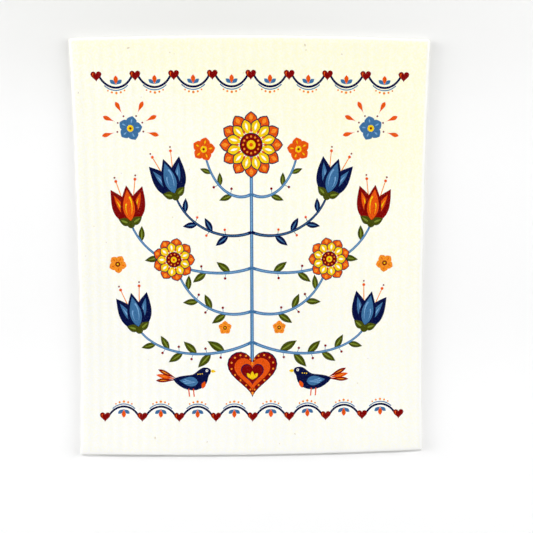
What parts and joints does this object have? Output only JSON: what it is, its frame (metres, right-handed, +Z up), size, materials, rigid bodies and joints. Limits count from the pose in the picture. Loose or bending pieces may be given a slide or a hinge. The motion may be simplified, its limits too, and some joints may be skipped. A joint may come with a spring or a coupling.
{
  "type": "sponge cloth",
  "caption": "Dry cellulose and cotton sponge cloth: a thin rectangular sheet with a printed folk pattern, for wiping and drying.",
  "frame": {"origin": "on the surface that the cloth lies on, under the middle of the sheet", "axes": "+Y towards the top of the print, along the sheet's long side; +Z up, out of the printed face"},
  "size_m": [0.17, 0.2032, 0.0045],
  "materials": {
    "cellulose_cloth": "dry cream cellulose and cotton with fine embossed ribs and matt printed inks"
  },
  "bodies": {
    "root": {"sponge_cloth": "cellulose_cloth"}
  },
  "joints": []
}
